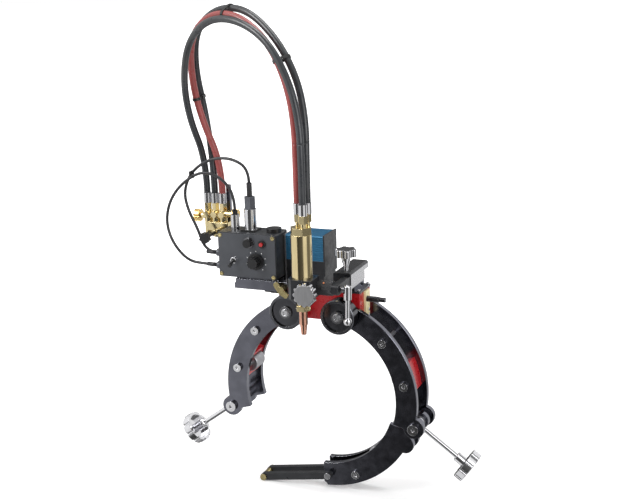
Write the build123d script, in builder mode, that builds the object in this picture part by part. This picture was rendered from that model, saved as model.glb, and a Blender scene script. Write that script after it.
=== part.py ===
"""Orbital pipe flame cutter: ring frame, drive, torch carriage, control boxes and gas hoses.

Millimetres. The origin is on the axis of the pipe, half way between the ring plates.
+Y runs along the pipe away from the torch, +Z is up.
"""

import math
import os

from build123d import *

os.makedirs("parts", exist_ok=True)

# Clearances shared by all sub-parts
run_fit = 0.08
side_gap = 0.3
overrun = 1.0

# Ring frame
pipe_r = 109.55
ring_gap = 7.95
ring_w = 31.5
ring_ir = pipe_r + ring_gap
ring_or = ring_ir + ring_w
plate_t = 8.0
plate_in = 22.0
plate_cut_x = 27.0
plate_edge = 0.6
screw_circle_r = ring_ir + ring_w / 2
ring_screw_deg = 42.0
block_screw_deg = 12.2
lug_inset = 1.0
lug_circle_r = ring_or - lug_inset
lug_r = 15.0
lug_deg = -13.8
lug_end_deg = -16.0
lug_bore_r = 4.2
plate_out = plate_in + plate_t
rod_r = 3.0

# Screws
cap_head_r = 6.2
cap_head_h = 4.5
cap_socket_r = 2.6
cap_socket_depth = 2.2
cap_stem_r = 2.9
small_head_h = 1.3
small_slot = 0.6

# Red roller blocks
block_inset = 2.5
block_depth = 21.0
block_ir = ring_ir + block_inset
block_or = block_ir + block_depth
block_half_deg = 8.6
block_deg = 14.4
roller_r = 12.6
roller_half = 14.0
roller_axle_r = 4.0
roller_seat = 0.5

# Lower jaw
jaw_inset = 2.0
jaw_gap = 1.45
jaw_or = ring_or - jaw_inset
jaw_ir = pipe_r + jaw_gap
jaw_pitch = 24.0
jaw_pin_ear_r = 12.5
jaw_hump_r = 13.5
jaw_hump_inset = 4.0
jaw_hump_circle_r = jaw_or - jaw_hump_inset
jaw_hump_deg = -27.0
jaw_start_deg = -18.5
jaw_screw_deg = -67.0
jaw_front_y = -plate_in + side_gap
jaw_notch_r = 5.0

# Link bars
link_w = 11.0
link_t = 8.0
link_x, link_z = 10.0, -128.0
link_len = 107.0
link_rise_deg = 9.4
link_pin_r = 3.0
link_head_r = 5.0
link_head_h = 2.5

# Tension screws
eye_r = 9.0
eye_t = 8.0
eye_y = -9.2
lug_pin_r = 4.0
lug_head_r = 8.0
lug_head_h = 5.0
tension_deg = -36.0
tension_rod_r = 3.5
tension_len = 98.0
knob_round = 1.2
collar_start = 71.0
collar_len = 22.2
collar_r = 7.0
knob_len = 12.5
knob_body_r = 24.0
knob_flutes = 10
knob_flute_r = 2.4
knob_hollow_r = 19.0
knob_hollow_depth = 8.0
knob_start = collar_start + collar_len + side_gap - knob_hollow_depth
bush_r = 8.0

# Hoses and cables
scale = 1.0
hose_r = 5.0
cable_r = 2.2
run_share = 0.45
strap_w = 4.0
arch_strap_shares = (0.27, 0.43)
low_strap_share = 0.7
strap_t = 0.9
pocket_half_deg = 6.5
pocket_gap = 1.25
pocket_or = pipe_r + 2 * roller_r + pocket_gap
roller_edge = 1.0
roller_axle_half = 20.0
jaw_t = 8.0
jaw_rear_y0 = jaw_front_y + jaw_pitch
jaw_rear_y1 = jaw_rear_y0 + jaw_t
jaw_end_deg = -89.6
jaw_spacer_deg = -33.0
jaw_spacer_r = 5.0
jaw_roller_deg = -48.0

# Drive
wheel_x, wheel_z = 39.5, 129.0
wheel_r = 25.4
wheel_front, wheel_back = -54.0, -34.0
wheel_rim = 4.0
wheel_dish = 3.0
wheel_hub_r = 9.0
wheel_edge = 1.2
wheel_axle_r = 6.0
wheel_axle_end = 21.0
wheel_screw_r = 5.0
wheel_screw_h = 3.0
gear_r = 10.4
gear_half = 6.0
gear_notch_r = 0.7
worm_r = 4.3
worm_end_r = 3.5
worm_step_x = 84.0
worm_end_x = 94.5
worm_groove = 0.6
worm_pitch = 3.0
worm_turns = 5
worm_z = 144.0
house_x, house_y = 63.0, 22.0
house_z0, house_z1 = 113.5, 157.0
house_wall = 4.0
house_edge = 1.2
end_plate_t = 3.0
end_y0, end_y1 = -5.5, 11.0
end_z0, end_z1 = 114.5, 156.0
end_screw_z = (120.0, 128.0)
house_screw_r = 2.5
house_screw_h = 3.0
house_screw_inset = 3.6
top_t = 3.0
top_x, top_y = 64.0, 23.0
top_z = house_z1 + top_t

# Cross feed on the right of the top plate
base_x0, base_x1 = 32.0, 55.5
base_y0, base_y1 = -22.0, 18.0
base_z1 = 168.0
guide_x0, guide_x1 = 37.0, 50.0
guide_z1 = 178.0
carriage_x0, carriage_x1 = 30.0, 57.0
carriage_y0, carriage_y1 = -40.0, 34.0
carriage_z1 = 192.0
carriage_bevel = 3.0
tail_y0 = 17.0
tail_z0 = 182.0
block_seam_y = -25.0
block_seam = 0.6
carriage_nose = 6.0
feed_round = 1.5
arm_nose = 3.0
lever_drop = 45.0
holder_edge = 1.5
holder_bevel = 6.0
pinion_relief = 1.0
rack_half = 5.0
nozzle_step = 3.0
feed_x, feed_y = 46.5, -31.0
feed_foot_r, feed_stem_r = 3.4, 6.4
feed_z0, feed_z1 = 213.5, 224.5
feed_foot_z1 = 198.0
feed_cone_z1 = 208.0
feed_r = 12.5
feed_lobe_r = 4.0
feed_lobe_circle_r = 12.0
arm_x0, arm_x1 = 46.0, 56.0
arm_y0 = -90.0
arm_z0, arm_z1 = 173.0, 187.0
pivot_y, pivot_z = -80.0, 180.0
pivot_r = 10.5
pivot_bolt_r = 4.0
pivot_knurls = 36
pivot_knurl_r = 0.7
lever_x0 = arm_x1 + side_gap
lever_stub_r = 4.6
lever_hub_r = 5.8
lever_hub_up, lever_hub_down = 5.5, 14.0
lever_rod_r = 3.4
lever_rod_x = 66.6
lever_len = 40.0
lever_ball_r = 6.0
lever_lean_deg = 3.0

# Torch and its holder
torch_x, torch_y = 5.0, -92.0
holder_x0, holder_x1 = -11.5, 24.0
holder_y0, holder_y1 = -109.0, -75.0
holder_z0, holder_z1 = 168.0, 196.0
holder_counter_z = 184.0
barrel_r = 14.6
barrel_z0, barrel_z1 = 193.7, 257.0
tube_r = 8.0
rack_pitch = 2.5
rack_teeth = 10
rack_depth = 0.6
rack_z0 = 163.0
gas_collar_z1 = 267.4
gas_collar_r = 15.4
pinion_x, pinion_z = 17.5, 178.0
pinion_r = 4.3
pinion_bore_r = 4.9
pinion_y1 = -82.0
pinion_shaft_r = 3.0
pinion_gear_y0 = -97.0
knob_y0, knob_y1 = -118.0, -109.4
pin_knob_r = 14.6
pin_knob_lobe_r = 2.6
pin_knob_lobe_circle_r = 14.0
pin_knob_lobes = 12
pin_knob_face_r = 14.2
pin_knob_face_h = 1.2
nut_z0, nut_z1 = 149.0, 156.4
nut_r = 11.0
nozzle_tip_z = 113.8
nozzle_top_r, nozzle_tip_r = 6.0, 3.7
nozzle_bore_r = 1.5
nozzle_bore_depth = 12.0
nozzle_cone_z = 126.0
nozzle_mid_r = 5.0
gas_ports = ((-4.3, 1.0, 5.6), (7.0, -8.0, 6.9), (8.3, 6.0, 5.6))
gas_nut_z0 = 267.4
gas_stub_r = 3.6
gas_nut_z1, gas_nut_z2 = 274.0, 285.0
ferrule_r = 5.8
ferrule_z1 = 300.0

# Power box on the top plate
power_x0, power_x1 = -51.0, 8.6
power_y0, power_y1 = -22.0, 26.0
power_z1, power_z2 = 200.0, 237.0
power_panel_t = 2.0
power_edge = 2.5
rib_pitch = 3.2
rib_depth = 0.9
rib_w = 1.2
power_end_t = 2.4
display_y0, display_y1 = -3.0, 23.0
display_z0, display_z1 = 212.0, 225.0
display_h = 0.7
port_y, port_z = 2.0, 192.0
port_r = 6.5
port_h = 4.0
rocker_y, rocker_z = 17.0, 190.0
rocker_bezel_r = 7.0
rocker_bezel_h = 1.6
rocker_h = 1.6
rocker_r = 5.4
rocker_lift = 0.9
rocker_dip = 0.6
power_end_z0 = 178.0
power_end_lip = 1.0

# Tray, rail and post that carry the control box and the manifold
tray_x0, tray_x1 = -118.0, -52.5
tray_y0, tray_y1 = -45.0, 20.0
post_arm_x0 = -163.0
post_arm_y0, post_arm_y1 = -4.0, 27.0
tray_z0, tray_z1 = 168.0, 173.5
leg_x0, leg_x1 = -63.5, -52.5
leg_y = 20.0
lip_x0, lip_x1 = -118.0, -36.0
rail_x0 = -120.0
rail_y0 = -50.0
rail_z0, rail_z1 = 158.5, 167.0
lip_z1 = 173.0
wing_x, wing_z = -44.0, 163.0
wing_bolt_r = 3.0
wing_hub_r = 5.5
wing_y0, wing_y1 = -58.0, -50.0
wing_mid_y = -56.5
wing_span = 28.0
wing_h = 8.6
wing_t = 2.6
wing_turn_deg = -46.0
wing_lean_deg = 12.0
post_x0, post_x1 = -162.5, -156.5
post_y0, post_y1 = 21.0, 27.0
post_z1 = 295.0

# Control box
box_x0, box_x1 = -146.0, -54.0
box_y0, box_y1 = -45.0, -5.0
box_z1 = 240.0
box_edge = 2.0
box_wall = 3.0
face_t = 2.0
face_inset = 1.0
face_screw_inset = 4.4
face_rivet_r = 3.0
speed_x, speed_z = -85.0, 200.0
speed_skirt_r, speed_grip_r = 12.0, 8.0
speed_skirt_h, speed_h = 3.0, 15.0
speed_grips = 12
speed_grip_cut = 0.9
speed_dots = 9
speed_dot_start = -50.0
speed_dot_step = 35.0
speed_dot_circle_r = 15.0
speed_dot_r = 0.7
speed_dot_h = 0.2
toggle_x, toggle_z = -120.0, 200.0
toggle_nut_r = 5.0
toggle_nut_h = 4.0
toggle_r0, toggle_r1 = 1.6, 2.6
toggle_len = 15.0
toggle_ball_r = 2.5
toggle_lean_deg = -20.0
fuse_x, fuse_z = -95.7, 227.2
fuse_r, fuse_ring_r = 6.0, 7.8
fuse_h, fuse_ring_h = 9.0, 2.0
lamp_x, lamp_z = -75.2, 226.3
lamp_r, lamp_bezel_r = 2.8, 5.8
lamp_h, lamp_bezel_h = 5.0, 2.0
plug_x = (-102.0, -126.5)
plug_y = -25.0
plug_flange = 23.0
plug_flange_t = 2.5
plug_body_r = 9.0
plug_body_z1 = 272.0
plug_nut_r = 8.6
plug_nut_z1 = 290.0
plug_sleeve_r = 4.0
plug_sleeve_z1 = 310.0
plug_small_r = 6.5
plug_small_z1 = 262.0
plug_small_sleeve_z1 = 268.0
cap_x, cap_y = -65.2, -25.0
cap_r = 11.0
cap_z1 = 246.0
gland_y = -25.0
gland_z = (203.0, 184.0)
gland_r = 7.0
gland_nut_len = 6.0
gland_dome_len = 6.0
gland_dome_r = 5.5

# Gas manifold
gas_x = (-189.0, -176.5, -164.0)
gas_y = 12.0
gas_ferrule_z1 = 284.0
gas_ferrule_z0 = 269.0
gas_union_z0 = 258.0
gas_body_z0 = 246.5
gas_union_r = 6.0
gas_body_r = 5.3
block_x0, block_x1 = -188.0, -154.0
block_y0, block_y1 = 3.0, 21.0
block_z0, block_z1 = 222.0, 246.5
bar_y0, bar_y1 = 5.0, 21.0
bar_z0, bar_z1 = 227.0, 241.0
gas_column_r = 5.9
gas_cross_r = 4.8
gas_cross_z = 252.0
gas_foot_r = 4.4
gas_foot_z0 = 217.0
spindle_r = 3.0
gas_neck_r = 4.6
gas_neck_len = 8.0
gas_neck_drop = 4.0
wheel_l_x, wheel_l_z = -206.0, 248.5
wheel_l_r, wheel_l_w = 9.6, 9.0
wheel_r_x, wheel_r_z = -144.0, 256.5
wheel_r_r, wheel_r_w = 8.6, 8.5
knob_x, knob_z = -173.0, 226.0
knob_front_y, knob_back_y = -38.0, -29.0
knob_r = 8.2
knob_stem_r = 2.4
brass_x, brass_z = -166.5, 228.0
brass_r, brass_len = 4.5, 6.0
wheel_flutes = 8
wheel_flute_r = 1.6

lug_x = lug_circle_r * math.cos(math.radians(lug_deg))
lug_z = lug_circle_r * math.sin(math.radians(lug_deg))


def polar(radius, degrees):
    return (radius * math.cos(math.radians(degrees)), radius * math.sin(math.radians(degrees)))


def cyl_x(y, z, x0, x1, radius, mode=Mode.ADD):
    with BuildSketch(Plane.YZ.offset(x0)) as disc:
        with Locations((y, z)):
            Circle(radius)
    extrude(disc.sketch, amount=x1 - x0, mode=mode)


def cyl_y(x, z, y0, y1, radius, mode=Mode.ADD):
    with BuildSketch(Plane.XZ.offset(-y1)) as disc:
        with Locations((x, z)):
            Circle(radius)
    extrude(disc.sketch, amount=y1 - y0, mode=mode)


def cyl_z(x, y, z0, z1, radius, mode=Mode.ADD):
    with BuildSketch(Plane.XY.offset(z0)) as disc:
        with Locations((x, y)):
            Circle(radius)
    extrude(disc.sketch, amount=z1 - z0, mode=mode)


def brick(x0, x1, y0, y1, z0, z1, mode=Mode.ADD):
    with BuildSketch(Plane.XY.offset(z0)) as base:
        with Locations(((x0 + x1) / 2, (y0 + y1) / 2)):
            Rectangle(x1 - x0, y1 - y0)
    extrude(base.sketch, amount=z1 - z0, mode=mode)


def hex_z(x, y, z0, z1, radius, mode=Mode.ADD):
    with BuildSketch(Plane.XY.offset(z0)) as base:
        with Locations((x, y)):
            RegularPolygon(radius, 6)
    extrude(base.sketch, amount=z1 - z0, mode=mode)


def save(builder, label):
    builder.part.label = label
    export_step(builder.part, "parts/" + label + ".step")


# Arc plates: a ring sector that ends beside the drive wheels above and in a round lug below
def arc_plate(side, y_far, front):
    with BuildPart() as plate:
        with BuildSketch(Plane.XZ.offset(-y_far)):
            Circle(ring_or)
            Circle(ring_ir, mode=Mode.SUBTRACT)
            with BuildLine():
                low_x, low_z = polar(2 * ring_or, lug_end_deg)
                Polyline(
                    (side * plate_cut_x, 2 * ring_or),
                    (side * plate_cut_x, 0),
                    (0, 0),
                    (side * low_x, low_z),
                    (side * 2 * ring_or, -2 * ring_or),
                    (-side * 2 * ring_or, -2 * ring_or),
                    (-side * 2 * ring_or, 2 * ring_or),
                    close=True,
                )
            make_face(mode=Mode.SUBTRACT)
            with Locations((side * lug_x, lug_z)):
                Circle(lug_r)
            with Locations((side * lug_x, lug_z)):
                Circle(lug_bore_r, mode=Mode.SUBTRACT)
            for degrees in (ring_screw_deg, block_screw_deg):
                px, pz = polar(screw_circle_r, degrees)
                with Locations((side * px, pz)):
                    Circle(cap_stem_r, mode=Mode.SUBTRACT)
            if front:
                with Locations((side * wheel_x, wheel_z)):
                    Circle(wheel_axle_r + 2 * run_fit, mode=Mode.SUBTRACT)
        extrude(amount=plate_t)
        outer_edges = plate.edges().filter_by(GeomType.CIRCLE).filter_by(
            lambda e: abs(e.radius - ring_or) < plate_edge
        )
        chamfer(outer_edges, plate_edge)
    return plate


# Socket cap screw along Y: the head stands on the plate face at y_face, toward the viewer if out < 0
def cap_screw(x, z, y_face, out, stem):
    head = sorted((y_face, y_face + out * cap_head_h))
    cyl_y(x, z, head[0], head[1], cap_head_r)
    sock = sorted((y_face + out * (cap_head_h - cap_socket_depth), y_face + out * (cap_head_h + overrun)))
    with BuildSketch(Plane.XZ.offset(-sock[1])) as recess:
        with Locations((x, z)):
            RegularPolygon(cap_socket_r, 6)
    extrude(recess.sketch, amount=sock[1] - sock[0], mode=Mode.SUBTRACT)
    shank = sorted((y_face, y_face - out * stem))
    cyl_y(x, z, shank[0], shank[1], cap_stem_r)


def sector(r0, r1, a0, a1, mode=Mode.ADD):
    with BuildLine() as outline:
        CenterArc((0, 0), r0, a0, a1 - a0)
        CenterArc((0, 0), r1, a0, a1 - a0)
        Line(polar(r0, a0), polar(r1, a0))
        Line(polar(r0, a1), polar(r1, a1))
    make_face(outline.edges(), mode=mode)


def turned(side, a0, a1):
    return (a0, a1) if side > 0 else (180 - a1, 180 - a0)


for y_far, front, name in ((-plate_in, True, "front"), (plate_out, False, "rear")):
    with BuildPart() as ring_plates:
        for side in (-1, 1):
            add(arc_plate(side, y_far, front).part)
    save(ring_plates, "ring_plates_" + name)

# Spacer rods between the plates, axles of the guide rollers, lug pins and their bushes
with BuildPart() as ring_pins:
    for side in (-1, 1):
        rx, rz = polar(screw_circle_r, ring_screw_deg)
        cyl_y(side * rx, rz, -plate_in, plate_in, rod_r)
        ax, az = polar(pipe_r + roller_r, block_deg)
        cyl_y(side * ax, az, -roller_axle_half, roller_axle_half, roller_axle_r)
    cyl_y(lug_x, lug_z, -plate_out - lug_head_h, jaw_rear_y1 + lug_head_h, lug_pin_r)
    cyl_y(lug_x, lug_z, jaw_rear_y1 + side_gap, jaw_rear_y1 + lug_head_h, lug_head_r)
    cyl_y(-lug_x, lug_z, -plate_out - lug_head_h, plate_out + lug_head_h, lug_pin_r)
    cyl_y(-lug_x, lug_z, plate_out, plate_out + lug_head_h, lug_head_r)
    for side in (-1, 1):
        cyl_y(side * lug_x, lug_z, -plate_out - lug_head_h, -plate_out, lug_head_r)
        cyl_y(side * lug_x, lug_z, -plate_out - lug_head_h, -plate_out - lug_head_h + cap_socket_depth,
              cap_socket_r, Mode.SUBTRACT)
    eye_y0 = eye_y - eye_t / 2 - side_gap
    eye_y1 = eye_y + eye_t / 2 + side_gap
    for bx, y0, y1 in ((-lug_x, -plate_in, eye_y0), (-lug_x, eye_y1, plate_in),
                       (lug_x, eye_y1, jaw_rear_y0 - side_gap)):
        cyl_y(bx, lug_z, y0, y1, bush_r)
save(ring_pins, "ring_pins")

# Cap screws of the plates, front and rear
with BuildPart() as ring_screws:
    for side in (-1, 1):
        for degrees in (ring_screw_deg, block_screw_deg):
            sx, sz = polar(screw_circle_r, degrees)
            cap_screw(side * sx, sz, -plate_out, -1, plate_t)
            cap_screw(side * sx, sz, plate_out, 1, plate_t)
save(ring_screws, "ring_screws")

# Red blocks that carry the guide rollers on the pipe
with BuildPart() as roller_blocks:
    for side in (-1, 1):
        outer = turned(side, block_deg - block_half_deg, block_deg + block_half_deg)
        inner = turned(side, block_deg - pocket_half_deg, block_deg + pocket_half_deg)
        with BuildSketch(Plane.XZ.offset(-plate_in)) as body:
            sector(block_ir, block_or, outer[0], outer[1])
        extrude(body.sketch, amount=2 * plate_in)
        with BuildSketch(Plane.XZ.offset(-roller_half - roller_seat)) as pocket:
            sector(block_ir - overrun, pocket_or, inner[0], inner[1])
        extrude(pocket.sketch, amount=2 * (roller_half + roller_seat), mode=Mode.SUBTRACT)
        ax, az = polar(pipe_r + roller_r, block_deg)
        cyl_y(side * ax, az, -roller_axle_half, roller_axle_half, roller_axle_r, Mode.SUBTRACT)
save(roller_blocks, "roller_blocks")

for side, name in ((-1, "left"), (1, "right")):
    with BuildPart() as roller:
        ax, az = polar(pipe_r + roller_r, block_deg)
        cyl_y(side * ax, az, -roller_half, roller_half, roller_r)
        chamfer(roller.edges().filter_by(GeomType.CIRCLE), roller_edge)
        cyl_y(side * ax, az, -roller_half, roller_half, roller_axle_r + run_fit, Mode.SUBTRACT)
    save(roller, "guide_roller_" + name)

# Lug pins: the right one is short, for the jaw; the left one reaches through both plates
# Lower jaw plate: a ring sector from the lug pin to the straight lower end
def jaw_plate(y_front):
    with BuildPart() as jaw:
        with BuildSketch(Plane.XZ.offset(-y_front - jaw_t)):
            sector(jaw_ir, jaw_or, jaw_end_deg, jaw_start_deg)
            with Locations((lug_x, lug_z)):
                Circle(jaw_pin_ear_r)
            with Locations(polar(jaw_hump_circle_r, jaw_hump_deg)):
                Circle(jaw_hump_r)
            with Locations((lug_x, lug_z)):
                Circle(lug_pin_r + run_fit, mode=Mode.SUBTRACT)
            with Locations((link_x, link_z)):
                Circle(link_pin_r, mode=Mode.SUBTRACT)
            with Locations(polar(jaw_or, jaw_end_deg)):
                Circle(jaw_notch_r, mode=Mode.SUBTRACT)
        extrude(amount=jaw_t)
        chamfer(jaw.edges().filter_by(GeomType.CIRCLE).filter_by(
            lambda e: abs(e.radius - jaw_or) < plate_edge), plate_edge)
    return jaw


with BuildPart() as jaw_plates:
    for y_front in (jaw_front_y, jaw_rear_y0):
        add(jaw_plate(y_front).part)
save(jaw_plates, "jaw_plates")

# Spacers, roller axle and link pin of the jaw
with BuildPart() as jaw_pins:
    for degrees in (jaw_screw_deg, jaw_spacer_deg):
        sx, sz = polar(screw_circle_r, degrees)
        cyl_y(sx, sz, jaw_front_y + jaw_t, jaw_rear_y0, jaw_spacer_r)
    sx, sz = polar(screw_circle_r, jaw_screw_deg)
    cyl_y(sx, sz, jaw_front_y - cap_head_h, jaw_front_y, cap_head_r)
    cyl_y(sx, sz, jaw_front_y - cap_head_h, jaw_front_y - cap_head_h + cap_socket_depth, cap_socket_r,
          Mode.SUBTRACT)
    jx, jz = polar(pipe_r + roller_r, jaw_roller_deg)
    cyl_y(jx, jz, jaw_front_y + jaw_t, jaw_rear_y0, roller_axle_r)
    cyl_y(link_x, link_z, -plate_out - side_gap - link_head_h, jaw_rear_y1, link_pin_r)
    cyl_y(link_x, link_z, -plate_out - side_gap - link_head_h, -plate_out - side_gap, link_head_r)
    cyl_y(link_x, link_z, jaw_rear_y1, jaw_rear_y1 + link_head_h, link_head_r)
save(jaw_pins, "jaw_pins")

with BuildPart() as jaw_roller:
    cyl_y(jx, jz, jaw_front_y + jaw_t + side_gap, jaw_rear_y0 - side_gap, roller_r)
    chamfer(jaw_roller.edges().filter_by(GeomType.CIRCLE), roller_edge)
    cyl_y(jx, jz, jaw_front_y + jaw_t + side_gap, jaw_rear_y0 - side_gap, roller_axle_r + run_fit,
          Mode.SUBTRACT)
save(jaw_roller, "jaw_roller")


# Link bars from the jaw's lower end to the free end pin
def link_bar(y_front):
    end_x = link_x - link_len * math.cos(math.radians(link_rise_deg))
    end_z = link_z - link_len * math.sin(math.radians(link_rise_deg))
    with BuildPart() as bar:
        with BuildSketch(Plane.XZ.offset(-y_front - link_t)):
            with Locations(((link_x + end_x) / 2, (link_z + end_z) / 2)):
                SlotCenterToCenter(link_len, link_w, rotation=link_rise_deg)
            with Locations((link_x, link_z)):
                Circle(link_pin_r + run_fit, mode=Mode.SUBTRACT)
            with Locations((end_x, end_z)):
                Circle(link_pin_r, mode=Mode.SUBTRACT)
        extrude(amount=link_t)
    return bar


free_x = link_x - link_len * math.cos(math.radians(link_rise_deg))
free_z = link_z - link_len * math.sin(math.radians(link_rise_deg))
with BuildPart() as link_bars:
    for y_front in (-plate_out, jaw_rear_y0 - side_gap - link_t):
        add(link_bar(y_front).part)
save(link_bars, "link_bars")

with BuildPart() as link_pin:
    cyl_y(free_x, free_z, -plate_out - link_head_h, jaw_rear_y0 - side_gap + link_head_h, link_pin_r)
    cyl_y(free_x, free_z, -plate_out - link_head_h, -plate_out, link_head_r)
    cyl_y(free_x, free_z, jaw_rear_y0 - side_gap, jaw_rear_y0 - side_gap + link_head_h, link_head_r)
    cyl_y(free_x, free_z, -plate_out + link_t, jaw_rear_y0 - side_gap - link_t, link_head_r)
save(link_pin, "link_end_pin")


def cyl_along(plane, d0, d1, radius, mode=Mode.ADD):
    with BuildSketch(plane.offset(d0)) as disc:
        Circle(radius)
    extrude(disc.sketch, amount=d1 - d0, mode=mode)


# Swing bolts: eye on the lug pin, rod, sliding sleeve, and a fluted knob hollow towards the ring
for side, name in ((-1, "left"), (1, "right")):
    dx, dz = polar(1, tension_deg)
    along = Plane(origin=(side * lug_x, eye_y, lug_z), x_dir=(0, 1, 0), z_dir=(side * dx, 0, dz))
    with BuildPart() as bolt:
        cyl_y(side * lug_x, lug_z, eye_y - eye_t / 2, eye_y + eye_t / 2, eye_r)
        cyl_along(along, lug_pin_r, tension_len, tension_rod_r)
        cyl_y(side * lug_x, lug_z, eye_y - eye_t / 2, eye_y + eye_t / 2, lug_pin_r + run_fit, Mode.SUBTRACT)
    save(bolt, "tension_screw_" + name)
    with BuildPart() as collar:
        cyl_along(along, collar_start, collar_start + collar_len, collar_r)
        chamfer(collar.edges().filter_by(GeomType.CIRCLE), roller_edge)
        cyl_along(along, collar_start, collar_start + collar_len, tension_rod_r + run_fit, Mode.SUBTRACT)
    save(collar, "tension_collar_" + name)
    with BuildPart() as star:
        with BuildSketch(along.offset(knob_start)):
            Circle(knob_body_r)
            with PolarLocations(knob_body_r, knob_flutes):
                Circle(knob_flute_r, mode=Mode.SUBTRACT)
        extrude(amount=knob_len)
        fillet(star.faces().sort_by(Axis((0, 0, 0), (side * dx, 0, dz)))[-1].edges(), knob_round)
        cyl_along(along, knob_start - overrun, knob_start + knob_hollow_depth, knob_hollow_r, Mode.SUBTRACT)
        cyl_along(along, knob_start, knob_start + knob_len, tension_rod_r + run_fit, Mode.SUBTRACT)
    save(star, "star_knob_" + name)

# Drive housing, open on top, with bores for the axles and the worm shaft
with BuildPart() as housing:
    brick(-house_x, house_x, -house_y, house_y, house_z0, house_z1)
    fillet(housing.edges().filter_by(Axis.Z), house_edge)
    brick(-house_x + house_wall, house_x - house_wall, -house_y + house_wall, house_y - house_wall,
          house_z0 + house_wall, house_z1 + overrun, Mode.SUBTRACT)
    for side in (-1, 1):
        cyl_y(side * wheel_x, wheel_z, -house_y - overrun, house_y + overrun, wheel_axle_r + run_fit,
              Mode.SUBTRACT)
    cyl_x(0, worm_z, -house_x - overrun, house_x + overrun, worm_r + run_fit, Mode.SUBTRACT)
save(housing, "drive_housing")

with BuildPart() as house_end:
    brick(house_x, house_x + end_plate_t, end_y0, end_y1, end_z0, end_z1)
    cyl_x(0, worm_z, house_x, house_x + end_plate_t, worm_r + run_fit, Mode.SUBTRACT)
save(house_end, "housing_end_plate")

with BuildPart() as top_plate:
    brick(-top_x, top_x, -top_y, top_y, house_z1, top_z)
    chamfer(top_plate.edges().filter_by(Axis.Z), house_edge)
save(top_plate, "top_plate")

# Cap screws on the right margin of the top plate and on the end plate
with BuildPart() as housing_screws:
    for y in (-top_y + house_screw_inset, top_y - house_screw_inset):
        cyl_z(top_x - house_screw_inset, y, top_z, top_z + house_screw_h, house_screw_r)
    for z in end_screw_z:
        cyl_x((end_y0 + end_y1) / 2, z, house_x + end_plate_t, house_x + end_plate_t + house_screw_h,
              house_screw_r)
    chamfer(housing_screws.edges().filter_by(GeomType.CIRCLE), worm_groove)
save(housing_screws, "housing_screws")

with BuildPart() as worm_shaft:
    cyl_x(0, worm_z, -worm_end_x, worm_end_x, worm_end_r)
    cyl_x(0, worm_z, -worm_step_x, worm_step_x, worm_r)
    for side in (-1, 1):
        for turn in range(-worm_turns // 2, worm_turns // 2 + 1):
            gx = side * wheel_x + turn * worm_pitch
            with BuildSketch(Plane.YZ.offset(gx - worm_groove / 2)) as ring:
                with Locations((0, worm_z)):
                    Circle(worm_r)
                    Circle(worm_r - worm_groove, mode=Mode.SUBTRACT)
            extrude(ring.sketch, amount=worm_groove, mode=Mode.SUBTRACT)
    chamfer(worm_shaft.faces().sort_by(Axis.X)[0].edges(), worm_groove)
    chamfer(worm_shaft.faces().sort_by(Axis.X)[-1].edges(), worm_groove)
save(worm_shaft, "worm_shaft")

for side, name in ((-1, "left"), (1, "right")):
    with BuildPart() as axle:
        cyl_y(side * wheel_x, wheel_z, wheel_front, wheel_axle_end, wheel_axle_r)
        with BuildSketch(Plane.XZ.offset(-gear_half)) as gear:
            with Locations((side * wheel_x, wheel_z)):
                Circle(gear_r)
                with PolarLocations(gear_r, 24):
                    Circle(gear_notch_r, mode=Mode.SUBTRACT)
        extrude(gear.sketch, amount=2 * gear_half)
        cyl_y(side * wheel_x, wheel_z, wheel_front - wheel_screw_h, wheel_front, wheel_screw_r)
        cyl_y(side * wheel_x, wheel_z, wheel_front - wheel_screw_h, wheel_front - wheel_screw_h / 2,
              cap_socket_r, Mode.SUBTRACT)
    save(axle, "wheel_axle_" + name)
    with BuildPart() as wheel:
        cyl_y(side * wheel_x, wheel_z, wheel_front, wheel_back, wheel_r)
        chamfer(wheel.edges().filter_by(GeomType.CIRCLE), wheel_edge)
        with BuildSketch(Plane.XZ.offset(-wheel_front - wheel_dish)) as dish:
            with Locations((side * wheel_x, wheel_z)):
                Circle(wheel_r - wheel_rim)
                Circle(wheel_hub_r, mode=Mode.SUBTRACT)
        extrude(dish.sketch, amount=wheel_dish + overrun, mode=Mode.SUBTRACT)
        cyl_y(side * wheel_x, wheel_z, wheel_front, wheel_back, wheel_axle_r, Mode.SUBTRACT)
    save(wheel, "drive_wheel_" + name)

# Cross feed: fixed base with a guide rib, and the carriage that rides on it along Y
with BuildPart() as slide_base:
    brick(base_x0, base_x1, base_y0, base_y1, top_z, base_z1)
    brick(guide_x0, guide_x1, base_y0, base_y1, base_z1, guide_z1)
save(slide_base, "slide_base")

with BuildPart() as carriage:
    brick(carriage_x0, carriage_x1, carriage_y0, carriage_y1, base_z1 + side_gap, carriage_z1)
    top_face = carriage.faces().sort_by(Axis.Z)[-1]
    chamfer(top_face.edges().filter_by(Axis.Y), carriage_bevel)
    chamfer(carriage.faces().sort_by(Axis.Y)[0].edges().sort_by(Axis.Z)[-1], feed_round)
    brick(carriage_x0 - overrun, carriage_x1 + overrun, tail_y0, carriage_y1 + overrun, base_z1, tail_z0,
          Mode.SUBTRACT)
    brick(guide_x0 - run_fit, guide_x1 + run_fit, carriage_y0 + carriage_nose, carriage_y1 + overrun,
          base_z1, guide_z1 + side_gap, Mode.SUBTRACT)
    brick(carriage_x0 - overrun, carriage_x1 + overrun, block_seam_y, block_seam_y + block_seam,
          carriage_z1 - block_seam, carriage_z1 + overrun, Mode.SUBTRACT)
save(carriage, "cross_carriage")

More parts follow.
